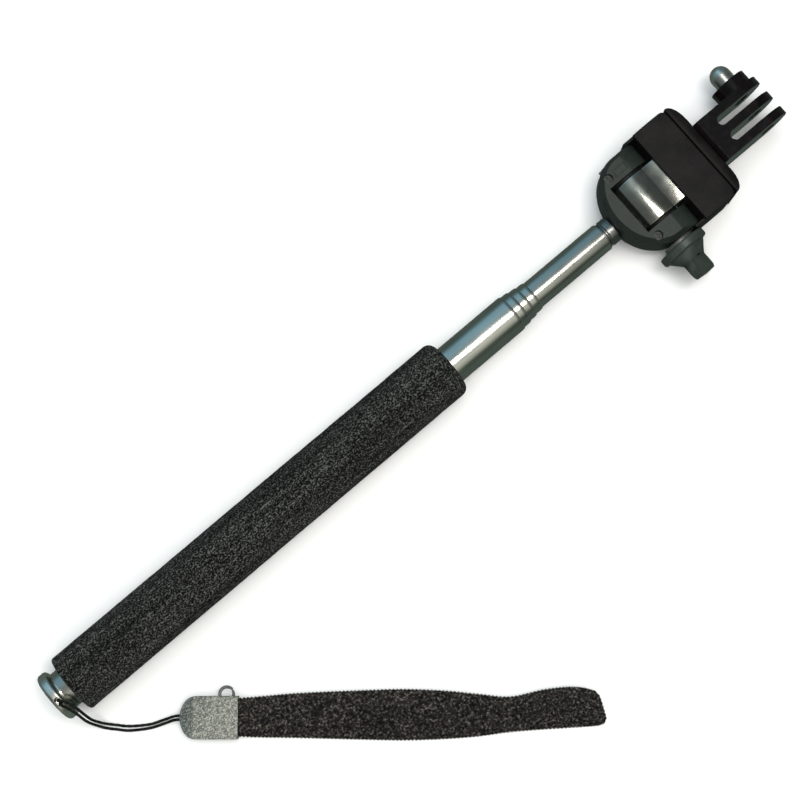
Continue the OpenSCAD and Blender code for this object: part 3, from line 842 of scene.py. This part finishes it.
def make_platform():
    block = rounded_copy("platform", "platform_block", 0.6, angle=14, segments=4)
    dress(block, MAT["block"])
    pad = rounded_copy("rubber_pad", "platform_pad", 0.3, angle=30, segments=4)
    dress(pad, MAT["pad"])


def make_adapter():
    body = rounded_copy("three_prong_adapter", "adapter_body", 0.3, angle=30, segments=4)
    dress(body, MAT["adapter"])
    nut = rounded_copy("acorn_nut", "dome_nut", 0.15, angle=30)
    dress(nut, MAT["chrome"])
    button = rounded_copy("button", "butt_button", 0.12, angle=35)
    dress(button, MAT["chrome"])


def dress_small_nodes():
    """Materials for the CAD nodes that show as they are, or only when the pole comes apart."""
    for node in ("butt_screw", "swivel_stud", "tilt_bolt", "camera_screw"):
        dress(NODES[node], MAT["screw"])
    for node in ("cord_crimp", "sleeve_2", "sleeve_3", "sleeve_4", "sleeve_5", "knob_nut", "adapter_insert"):
        dress(NODES[node], MAT["brass"])
    for node in ("friction_washers", "end_plug"):
        dress(NODES[node], MAT["plug"])
    dress(NODES["swivel_washer"], MAT["nylon"])
    dress(NODES["head_screws"], MAT["dark_screw"])


# ---------------------------------------------------------------- table and light

def make_table():
    """A wide white table. Glossy rays see a painted dim glow in its place instead of its lit white: painted
    shade in every reflection of it, as if someone stood over it.
    """
    half = 3.0
    z = FLOOR_Z - 0.00005
    mesh = bpy.data.meshes.new("table")
    corners = [(-half, -half, z), (half, -half, z), (half, half, z), (-half, half, z)]
    mesh.from_pydata(corners, [], [(0, 1, 2, 3)])
    table = bpy.data.objects.new("table", mesh)
    bpy.context.scene.collection.objects.link(table)
    s = Shader("table_white", Roughness=0.35, Specular_IOR_Level=0.3)
    cloud = s.noise(60, detail=2)
    s.colour(s.ramp(cloud, [(0.3, (0.86, 0.86, 0.86)), (0.7, (0.885, 0.885, 0.88))]))
    # Painted reflection: glossy rays see this dim greenish glow instead of the table's lit white.
    dim = s.node("Emission")
    dim.inputs["Color"].default_value = (0.085, 0.11, 0.095, 1)
    ray = s.node("LightPath")
    choice = s.node("MixShader")
    s.link(ray.outputs["Is Glossy Ray"], choice.inputs["Fac"])
    s.link(s.surface.outputs["BSDF"], choice.inputs[1])
    s.link(dim.outputs["Emission"], choice.inputs[2])
    s.link(choice.outputs["Shader"], s.tree.nodes["Material Output"].inputs["Surface"])
    mesh.materials.append(s.material)


def add_softbox(name, place, aim, size, watts, colour, in_gloss=True):
    data = bpy.data.lights.new(name, "AREA")
    data.shape, data.size, data.size_y = "RECTANGLE", size[0], size[1]
    data.energy, data.color = watts, colour
    light = bpy.data.objects.new(name, data)
    light.location = place
    light.rotation_mode = "QUATERNION"
    light.rotation_quaternion = (Vector(aim) - Vector(place)).to_track_quat("-Z", "Y")
    light.visible_glossy = in_gloss
    bpy.context.scene.collection.objects.link(light)


def make_light():
    """A small bright softbox overhead, a wide soft fill, and a dim room that is blue on one side."""
    add_softbox("key", (0.41, -0.15, 1.5), (0.14, 0.0, 0.0), (0.36, 0.58), 6.3, (1.0, 0.975, 0.91))
    add_softbox(
        "fill", (0.14, 0.0, 1.6), (0.14, 0.0, 0.0), (2.4, 2.4), 40, (1.0, 1.0, 1.0), in_gloss=False,
    )
    world = bpy.data.worlds.new("room")
    bpy.context.scene.world = world
    world.use_nodes = True
    tree = world.node_tree
    place = tree.nodes.new("ShaderNodeTexCoord")
    split = tree.nodes.new("ShaderNodeSeparateXYZ")
    tree.links.new(place.outputs["Generated"], split.inputs["Vector"])

    def band(source, stops):
        spread = tree.nodes.new("ShaderNodeMapRange")
        spread.inputs["From Min"].default_value = -1
        tree.links.new(source, spread.inputs["Value"])
        ramp = tree.nodes.new("ShaderNodeValToRGB")
        set_stops(ramp, stops)
        tree.links.new(spread.outputs["Result"], ramp.inputs["Fac"])
        return ramp.outputs["Color"]

    # Across the pole: dark green, a pale wall, the ceiling, a blue window, dark again.
    across = band(split.outputs["Y"], [
        (0.00, (0.06, 0.08, 0.06)), (0.05, (0.08, 0.10, 0.08)), (0.09, (0.42, 0.44, 0.38)),
        (0.22, (0.80, 0.80, 0.72)), (0.34, (0.42, 0.42, 0.38)), (0.50, (0.24, 0.26, 0.25)),
        (0.65, (0.30, 0.38, 0.40)), (0.76, (0.33, 0.52, 0.62)), (0.95, (0.26, 0.46, 0.56)),
        (1.00, (0.07, 0.11, 0.12)),
    ])
    # Along the pole: dim at both ends.
    along = band(split.outputs["X"], [
        (0.00, (0.25, 0.25, 0.25)), (0.30, (0.45, 0.45, 0.45)), (0.45, (1.0, 1.0, 1.0)),
        (0.60, (1.0, 1.0, 1.0)), (0.70, (0.28, 0.28, 0.28)), (1.00, (0.20, 0.20, 0.20)),
    ])
    mixed = tree.nodes.new("ShaderNodeMixRGB")
    mixed.blend_type = "MULTIPLY"
    mixed.inputs["Fac"].default_value = 1.0
    tree.links.new(across, mixed.inputs["Color1"])
    tree.links.new(along, mixed.inputs["Color2"])
    tree.links.new(mixed.outputs["Color"], tree.nodes["Background"].inputs["Color"])
    bpy.context.scene.view_settings.view_transform = "Standard"


make_camera()
make_cords(make_strap())
make_foam()
make_tubes()
make_neck()
make_head()
make_platform()
make_adapter()
dress_small_nodes()
make_table()
make_light()
